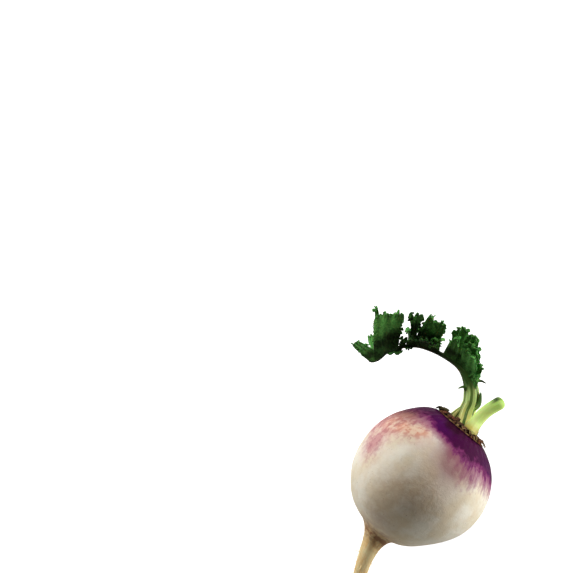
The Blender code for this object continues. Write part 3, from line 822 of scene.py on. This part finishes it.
def crown_look():
    look = Look("crown_cork_look")
    plant = look.vector("plant")
    coarse = look.noise(plant, 0.45, 5.0, 0.65)
    fibre = look.noise(plant, 3.2, 4.0, 0.7)
    tip = look.value("tip")
    tone = look.value("tone")
    brown = look.blend(coarse, 0.35, 0.65, srgb(46, 27, 18), srgb(96, 64, 40))
    edge = look.blend(tone, 0.35, 0.75, srgb(156, 92, 64), srgb(196, 168, 112))
    ripe = look.product(look.span(tip, 0.65, 1.05), look.span(coarse, 0.3, 0.7, 0.4, 1.0))
    colour = look.mix(ripe, brown, edge)
    colour = look.blend(fibre, 0.55, 0.75, colour, srgb(32, 20, 13), 0.35)
    rough_bump = look.bump(coarse, 0.0009)
    fine_bump = look.bump(fibre, 0.0003, rough_bump)
    return look.finished(colour, look.span(coarse, 0.2, 0.8, 0.65, 0.9), fine_bump, 0.25)


def crown():
    look = crown_look()
    disc = Shell()
    disc.sleeve(80, 120, crown_place)
    draw = random.Random(11)
    for x, y in STUBS:
        stub(disc, x, y, draw)
    made_piece("crown_disc", disc, look, "crown")
    skins = Shell()
    skins.sheet(480, 8, collar_place)
    for number in range(SCALES):
        angle = tau * (number + draw.uniform(-0.4, 0.4)) / SCALES
        # None beside the dried shoot
        if cos(angle) < cos(BARE_ANGLE):
            reach = CROWN_RADIUS + draw.uniform(0.8, 4.8) * MM
            lift = (0.7 + draw.uniform(0.0, 1.4)) * MM
            foot = CROWN_RADIUS - draw.uniform(0.5, 3.0) * MM
            dry_scale(skins, angle, foot, reach, lift, draw.uniform(0.6, 1.7) * MM, draw)
    thicken(made_piece("crown_scales", skins, look, "crown"), DRY_THICKNESS)


def thicken(piece, thickness):
    """Gives a sheet its thickness, to both sides."""
    thick = piece.modifiers.new("thickness", "SOLIDIFY")
    thick.thickness = thickness
    thick.offset = 0.0


# The leaf


def midrib_path():
    return path_in_mm([(x, LEAF_DEPTH, z) for x, z in MIDRIB])


def midrib_width(length, whole):
    """Half the width of the stalk and midrib: flared at the foot, thick while bare, then fine."""
    flare = FOOT_FLARE * exp(-max(0.0, length) / FLARE_DECAY)
    slim = eased((length - 0.6 * BARE_STALK) / (0.9 * BARE_STALK))
    rib = STALK_HALF_WIDTH + (MIDRIB_HALF_WIDTH - STALK_HALF_WIDTH) * slim
    share = length / whole
    return flare + rib + (MIDRIB_TIP - MIDRIB_HALF_WIDTH) * share**2


def tooth_height(lobe, a):
    """How far the rim stands out at a, in mm: by its round teeth, and by its own wandering line."""
    off = abs(((a + 1.0) * lobe.teeth) % 2.0 - 1.0)
    drift = noise_at(a * lobe.teeth * 0.45, lobe.along, lobe.side * 3.0)
    small = noise_at(a * lobe.teeth * 3.0, lobe.along, lobe.side * 9.0)
    return 2.2 * sqrt(max(0.0, 1.0 - off**2.4)) - 1.5 + 0.5 * small, 0.14 * lobe.reach * drift


def side_teeth(lobe, a, b):
    """How much the lobe's sides bulge, as a share of its width: teeth down to its foot."""
    off = abs((b * lobe.reach / 1.3 + 0.37 * lobe.along) % 2.0 - 1.0)
    return 0.22 * (sqrt(max(0.0, 1.0 - off**2.4)) - 0.6) * abs(a) ** 4 * eased(b * 2.5)


def lobe_point(path, lobe, a, b):
    """A lobe's middle sheet at a, from -1 to 1 across it, and b, from 0 at the midrib to 1 at its rim."""
    place = path.at((lobe.along + 0.5 * lobe.base * a * (1.0 - b)) * MM)
    place.y += lobe.side * LOBE_OFFSET
    heading = path.heading(lobe.along * MM)
    aim = radians(lobe.aim)
    forward = Vector((cos(aim), 0.0, sin(aim)))
    sideways = Vector((sin(aim), 0.0, -cos(aim)))
    out = Vector((-heading.z, 0.0, heading.x))
    if out.dot(forward) < 0:
        out.negate()
    opening = radians(lobe.open) * (0.75 + 0.6 * b)
    raised = out * cos(opening) + TO_CAMERA * lobe.side * sin(opening)
    tooth, wander = tooth_height(lobe, a)
    reach = lobe.reach * b * (1.0 - lobe.round * a * a * b) + wander * b**3
    reach += tooth * eased((b - 0.8) / 0.2)
    flat = forward * reach
    flat += sideways * 0.5 * lobe.head * a * b**lobe.stalk * (1.0 + side_teeth(lobe, a, b))
    lifted = heading * flat.dot(heading) + raised * flat.dot(out)
    normal = heading.cross(raised)
    ruffle = 0.5 * b**1.5 * sin(2.6 * pi * a + lobe.along)
    frill = 0.4 * b**12 * sin(0.62 * pi * lobe.teeth * a + 1.3 * lobe.along)
    at = Vector((flat.x, flat.z, lobe.along + 20.0 * lobe.side))
    crinkle = (0.6 * noise.noise(at * 0.14) + 0.2 * noise.noise(at * 0.5)) * eased(b * 3.0)
    return place + (lifted + normal * (ruffle + frill + crinkle)) * MM


def vein_at(lobe, a, b):
    """1 on a vein and 0 away from it: the middle vein, and one towards every second tooth."""
    half = 0.5 * lobe.head * b**lobe.stalk
    spread = a / max(0.05, b) ** 0.5
    off = abs(((spread + 1.0) * lobe.teeth / 2.0) % 2.0 - 1.0)
    apart = off * 2.0 / lobe.teeth * half
    side_vein = bell(apart, 0.22) * 0.6 * (1.0 - 0.6 * b) * eased(b * 4.0)
    middle = bell(a * half, 0.35) * (1.0 - 0.7 * b)
    return max(middle, side_vein)


def curl(shell, foot, out, across, values, draw):
    """One small round frill that stands on a lobe's rim."""
    wide = draw.uniform(0.8, 1.5) * MM
    tall = draw.uniform(1.2, 2.4) * MM
    normal = out.cross(across).normalized()
    tilt = draw.uniform(-0.9, 0.9)
    rise = out * cos(tilt) + normal * sin(tilt)
    bend = draw.uniform(-0.8, 0.8) * MM
    seed = draw.uniform(0.0, 90.0)

    def place(a, b):
        half = wide * (0.45 + 0.75 * sin(pi * min(1.0, 0.15 + 0.75 * b)))
        top = tall * b * (1.0 - 0.4 * a * a * b + 0.25 * noise_at(a * 3.0, seed, 0.0))
        dip = bend * (b * b + 0.6 * a * a)
        return foot + across * a * half + rise * top + normal * dip, values

    shell.sheet(8, 7, place)


def frills(shell, lobe, path, tone, draw):
    """Small curled frills along a lobe's rim and its sides."""
    spots = [(-1.0 + (2 * k + 1) / lobe.teeth, draw.uniform(0.93, 1.0)) for k in range(lobe.teeth)]
    steps = max(2, int(lobe.reach / FRILL_SPACING))
    for side in (-1.0, 1.0) if lobe.name[0] != "a" else ():
        spots += [(side * 0.96, (step + draw.uniform(0.0, 0.8)) / steps) for step in range(1, steps)]
    for a, b in spots:
        foot = lobe_point(path, lobe, a, b)
        inner = lobe_point(path, lobe, a * 0.9, b - 0.08)
        beside = lobe_point(path, lobe, a + (0.05 if a < 0 else -0.05), b)
        out = (foot - inner).normalized()
        across = square_to(out, (beside - foot).normalized())
        # Painted light and shade: frills are lighter on lit lobes and towards the rim
        rim = draw.uniform(0.75, 1.0) * (0.45 + 0.55 * b) * (0.55 + 0.45 * tone)
        values = {"vein": 0.0, "rim": rim, "tone": tone}
        curl(shell, foot - out * 0.4 * MM, out, across, values, draw)


def blade(shell, lobe, path, draw):
    """One lobe as a thin sheet, finely cut and frilled at its rim."""
    # How much painted light or shade this lobe gets
    tone = LOBE_PAINTED_LIGHT[lobe.name[0]]

    def place(a, b):
        return lobe_point(path, lobe, a, b), {"vein": vein_at(lobe, a, b), "rim": b, "tone": tone}

    shell.sheet(max(24, lobe.teeth * COLUMNS_A_TOOTH), BLADE_ROWS, place)
    if lobe.reach > LEAST_FRILLED:
        frills(shell, lobe, path, tone, draw)


def leaf_look():
    look = Look("leaf_green_look")
    plant = look.vector("plant")
    cloud = look.noise(plant, 0.13, 4.0, 0.6)
    cells = look.noise(plant, 0.9, 4.0, 0.6)
    fine = look.noise(plant, 3.5, 3.0, 0.6)
    rim = look.value("rim")
    vein = look.value("vein")
    tone = look.value("tone")
    # Painted light and shade: the green darkens towards the midrib and on lobes in shade, and lightens
    # towards the rims of lit lobes, broken by random cloud
    shaded_green = look.blend(cells, 0.35, 0.65, srgb(18, 42, 12), srgb(28, 62, 20))
    light = look.blend(cells, 0.35, 0.65, srgb(68, 138, 60), srgb(104, 172, 84))
    painted_lightness = look.sum(look.span(rim, 0.3, 0.82, -0.72, 0.8), look.span(tone, 0.0, 1.0, -0.3, 1.05))
    painted_lightness = look.sum(painted_lightness, look.span(cloud, 0.35, 0.65, -0.2, 0.3))
    colour = look.blend(painted_lightness, 0.0, 0.9, shaded_green, light)
    colour = look.mix(look.product(vein, 0.12), colour, srgb(130, 168, 104))
    colour = look.blend(rim, 0.96, 1.0, colour, srgb(30, 54, 24), 0.35)
    veined = look.bump(vein, 0.0001)
    bubbled = look.bump(cells, 0.0003, veined)
    grain = look.bump(fine, 0.0001, bubbled)
    look.set(Subsurface_Weight=0.1, Subsurface_Scale=0.0015)
    return look.finished(colour, look.span(cells, 0.2, 0.8, 0.45, 0.6), grain, 0.14)


def stalk_length(path, t):
    """How far up a stalk t is: a stalk starts below its foot, sunk into the crown."""
    return (path.length + STALK_SINK) * t - STALK_SINK


def stalk_place(path, half_width, shape):
    """place(t, angle) of a ribbed stalk, whose foot spreads on its near side."""

    def place(t, angle):
        length = stalk_length(path, t)
        heading = path.heading(length)
        deep = square_to(heading, TO_CAMERA)
        wide = heading.cross(deep)
        grain = noise_round(angle, 4.0, length / MM * 0.05)
        ridge = cos(shape.ribs * angle) + 0.5 * cos(2 * shape.ribs * angle + 0.8) + 0.7 * grain
        radius = half_width(length) * (1.0 + shape.depth * ridge)
        left = (path.length - length) / MM
        if left < shape.ends:
            radius *= sqrt(max(0.0, 1.0 - (1.0 - left / shape.ends) ** 2.6))
        near = max(0.0, sin(angle)) * SPREAD * exp(-max(0.0, length) / SPREAD_DECAY)
        through = sin(angle) * radius * shape.flatness + near
        closed = 1.0 if 0.0 < t < 1.0 else 0.0
        point = path.at(length) + (wide * cos(angle) * radius + deep * through) * closed
        values = {
            "fibre": (cos(angle), sin(angle), length / MM),
            "share": length / path.length,
            "groove": 0.5 - 0.5 * cos(shape.ribs * angle) - 0.6 * grain,
        }
        return point, values

    return place


def stalk_look():
    look = Look("leaf_stalk_look")
    plant = look.vector("plant")
    fibre = look.vector("fibre")
    share = look.value("share")
    groove = look.value("groove")
    lines = look.noise(look.stretched(fibre, (5.0, 5.0, 0.06)), 1.0, 5.0, 0.65)
    cloud = look.noise(plant, 0.25, 3.0, 0.5)
    pale = look.blend(share, 0.0, 0.16, srgb(240, 234, 146), srgb(222, 242, 148))
    green = look.blend(share, 0.08, 0.18, pale, srgb(206, 236, 146))
    green = look.blend(share, 0.17, 0.27, green, srgb(66, 106, 40))
    green = look.blend(share, 0.45, 0.7, green, srgb(32, 46, 24))
    inside = look.span(look.sum(groove, lines), 0.98, 1.35)
    hollow = look.product(inside, look.span(share, 0.9, 0.0, 0.3, 1.0))
    colour = look.mix(hollow, green, srgb(84, 116, 40))
    colour = look.blend(lines, 0.55, 0.72, colour, srgb(212, 222, 156), 0.6)
    colour = look.blend(share, 0.3, 0.5, colour, srgb(36, 54, 28), 0.8)
    colour = look.blend(cloud, 0.6, 0.8, colour, srgb(96, 96, 40), 0.4)
    ridged = look.bump(lines, 0.0003)
    look.set(Subsurface_Weight=0.15, Subsurface_Scale=0.003)
    return look.finished(colour, look.span(lines, 0.3, 0.7, 0.4, 0.55), ridged, 0.3)


def growth_place(growth):
    path = path_in_mm(growth.points)

    def half(share):
        """The half thickness, drawn in to a soft tip."""
        return (growth.foot + (growth.tip - growth.foot) * share) * sqrt(1.0 - share**3) * MM

    surface = tongue(path, lambda share: half(share) * 1.2, half, TO_CAMERA)

    def place(t, angle):
        point = surface(t, angle)
        values = {
            "fibre": (cos(angle), sin(angle), t * path.length / MM),
            "share": max(0.0, (point.z / MM - GROWTH_FOOT) / GROWTH_SPAN),
            "groove": 0.5 - 0.5 * cos(5 * angle),
        }
        return point, values

    return place


def leaf():
    path = midrib_path()
    look = leaf_look()
    draw = random.Random(3)
    for name, side in (("near_blades", 1), ("far_blades", -1)):
        blades = Shell()
        for lobe in LOBES:
            if lobe.side == side:
                blade(blades, lobe, path, draw)
        thicken(made_piece(name, blades, look, "leaf"), BLADE)
    stalk = Shell()
    stalk.sleeve(340, 84, stalk_place(path, lambda length: midrib_width(length, path.length), LEAF_STALK))
    for growth in GROWTHS:
        stalk.sleeve(40, 32, growth_place(growth))
    made_piece("leaf_stalk", stalk, stalk_look(), "leaf")


# The cut stalk


def cut_look():
    look = Look("cut_stalk_look")
    plant = look.vector("plant")
    fibre = look.vector("fibre")
    share = look.value("share")
    end = look.value("end")
    lines = look.noise(look.stretched(fibre, (3.0, 3.0, 0.04)), 1.0, 5.0, 0.6)
    cloud = look.noise(plant, 0.3, 3.0, 0.5)
    pith = look.noise(plant, 1.6, 3.0, 0.6)
    body = look.blend(share, 0.0, 0.22, srgb(186, 176, 88), srgb(220, 248, 142))
    body = look.blend(share, 0.4, 1.0, body, srgb(200, 246, 122))
    body = look.blend(cloud, 0.45, 0.7, body, srgb(226, 242, 168), 0.3)
    body = look.blend(lines, 0.52, 0.75, body, srgb(160, 206, 96), 0.2)
    face = look.blend(pith, 0.4, 0.65, srgb(168, 214, 92), srgb(188, 226, 114))
    colour = look.blend(end, 0.45, 0.8, body, face)
    dark_rim = look.product(look.value("bruise"), look.span(pith, 0.3, 0.5, 0.5, 1.0))
    colour = look.mix(dark_rim, colour, srgb(48, 76, 32))
    ridged = look.bump(lines, 0.0003)
    look.set(Subsurface_Weight=0.2, Subsurface_Scale=0.004)
    return look.finished(colour, look.span(cloud, 0.3, 0.7, 0.36, 0.5), ridged, 0.3)


def cut_stalk():
    path = path_in_mm(CUT_STALK)

    def half_width(length):
        flare = CUT_FLARE * exp(-max(0.0, length) / CUT_FLARE_DECAY)
        return CUT_HALF_WIDTH + CUT_WIDENING * length / path.length + flare

    surface = stalk_place(path, half_width, CUT_SHAPE)

    def place(t, angle):
        point, values = surface(t, angle)
        left = (path.length - stalk_length(path, t)) / MM
        values["end"] = 1.0 - min(1.0, left / CUT_SHAPE.ends)
        side = eased(3.0 * (cos(angle - BRUISE_ANGLE) - 0.55))
        values["bruise"] = bell(left - BRUISE_DEPTH, BRUISE_DEPTH) * side
        return point, values

    shell = Shell()
    shell.sleeve(200, 96, place)
    made_piece("cut_leaf_stalk", shell, cut_look(), "cut_stalk")


# The dried shoot


def shoot_look():
    look = Look("dried_shoot_look")
    plant = look.vector("plant")
    coarse = look.noise(plant, 1.1, 4.0, 0.65)
    fine = look.noise(plant, 4.5, 3.0, 0.6)
    colour = look.blend(coarse, 0.35, 0.65, srgb(34, 28, 14), srgb(84, 80, 40))
    colour = look.blend(fine, 0.55, 0.75, colour, srgb(128, 116, 66), 0.5)
    return look.finished(colour, 0.85, look.bump(coarse, 0.0006), 0.25)


def frond(shell, points, number):
    """One dry frond, crumpled and toothed along its edges."""
    path = path_in_mm(points)

    def place(a, b):
        heading = path.heading(path.length * b)
        wide = square_to(heading, TO_CAMERA)
        up = heading.cross(wide)
        teeth = 1.0 + 0.45 * sin(b * 19.0 + number) * abs(a)
        width = (0.9 + 0.6 * b) * (1.0 - 0.4 * b**6) * teeth * MM
        curl_up = (0.5 * a * a + 0.4 * noise_at(a * 1.5, b * 3.0, number * 3.1)) * MM
        return path.at(path.length * b) + wide * a * width + up * curl_up, {}

    shell.sheet(12, 26, place)


def dried_shoot():
    shell = Shell()
    for number, points in enumerate(FRONDS):
        frond(shell, points, number)
        shifted = [(x + 0.3, y + 0.7, z - 0.2 * step) for step, (x, y, z) in enumerate(points)]
        frond(shell, shifted, number + 7)
    path = path_in_mm(SHOOT_CORE)
    surface = tongue(path, lambda share: 1.2 * MM, lambda share: 1.1 * MM, Vector((1, 0, 0)))

    def place(t, angle):
        point = surface(t, angle)
        return point + AXIS * 0.35 * MM * noise.noise(point / MM * 0.9), {}

    shell.sleeve(30, 24, place)
    piece = made_piece("dried_fronds", shell, shoot_look(), "dried_shoot")
    thicken(piece, DRY_THICKNESS)


# The floor, the light and the camera


def photo_axes():
    """The photograph's right, its up and the way back to the camera, where the turnip lies."""
    across = LYING @ Vector((1, 0, 0))
    along = LYING @ Vector((0, -sin(CROWN_TILT), cos(CROWN_TILT)))
    right = along * cos(CROWN_AIM) - across * sin(CROWN_AIM)
    up = along * sin(CROWN_AIM) + across * cos(CROWN_AIM)
    return right, up, right.cross(up)


def camera():
    """A long lens, turned so that the round body is where the photograph has it."""
    right, up, back = photo_axes()
    middle = AXIS * BODY_HEIGHT
    distance = LENS * MM_A_PIXEL * IMAGE_WIDTH / SENSOR * MM
    place = middle + back * distance
    off_right = (BODY_PIXEL[0] - IMAGE_WIDTH / 2) * MM_A_PIXEL * MM
    off_down = (BODY_PIXEL[1] - IMAGE_HEIGHT / 2) * MM_A_PIXEL * MM
    target = middle - right * off_right + up * off_down
    looks_back = (place - target).normalized()
    level = square_to(looks_back, right)
    upright = looks_back.cross(level)
    data = bpy.data.cameras.new("photo_camera")
    data.lens = LENS
    data.sensor_width = SENSOR
    data.clip_start = 0.05
    made = added("photo_camera", data)
    turned = Matrix((level, upright, looks_back)).transposed().to_4x4()
    made.matrix_world = Matrix.Translation(place) @ turned
    bpy.context.scene.camera = made


def floor():
    mesh = bpy.data.meshes.new("floor")
    sides = ((-1, -1), (1, -1), (1, 1), (-1, 1))
    corners = [(FLOOR_HALF * x, FLOOR_HALF * y, FLOOR_LEVEL) for x, y in sides]
    mesh.from_pydata(corners, [], [(0, 1, 2, 3)])
    look = Look("floor_look")
    look.set(Base_Color=(0.6, 0.6, 0.6), Roughness=0.9, Specular_IOR_Level=0.1)
    seen = look.node("ShaderNodeLightPath", {}, "Is Camera Ray")
    glow = look.span(seen, 0.0, 1.0, FLOOR_GLOW, FLOOR_SHINE)
    look.set(Emission_Color=look.mix(seen, WARM_LIGHT, WHITE), Emission_Strength=glow)
    mesh.materials.append(look.material)
    added("floor", mesh)


def place_lamp(lamp):
    """A wide soft light that faces the turnip."""
    right, up, back = photo_axes()
    aim = (right * lamp.way[0] + up * lamp.way[1] + back * lamp.way[2]).normalized()
    data = bpy.data.lights.new(lamp.name, "AREA")
    data.shape = "RECTANGLE"
    data.size, data.size_y = lamp.size
    data.energy = lamp.power
    data.color = LAMP_COLOUR
    place = AXIS * BODY_HEIGHT + aim * lamp.distance
    turned = aim.to_track_quat("Z", "Y").to_matrix().to_4x4()
    added(lamp.name, data).matrix_world = Matrix.Translation(place) @ turned


def studio():
    """A room that is pale to look at and gives little light of its own."""
    world = bpy.data.worlds.new("studio")
    world.use_nodes = True
    nodes = Nodes(world.node_tree)
    shade = world.node_tree.nodes["Background"]
    seen = nodes.node("ShaderNodeLightPath", {}, "Is Camera Ray")
    nodes.feed(shade.inputs["Color"], nodes.mix(seen, WARM_LIGHT, WHITE))
    nodes.feed(shade.inputs["Strength"], nodes.span(seen, 0.0, 1.0, ROOM_LIGHT, 1.0))
    bpy.context.scene.world = world


def lights():
    for lamp in LAMPS:
        place_lamp(lamp)
    studio()
    view = bpy.context.scene.view_settings
    view.view_transform = "Standard"
    view.look = "None"


def main():
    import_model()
    turnip_root()
    crown()
    leaf()
    cut_stalk()
    dried_shoot()
    floor()
    lights()
    camera()


main()
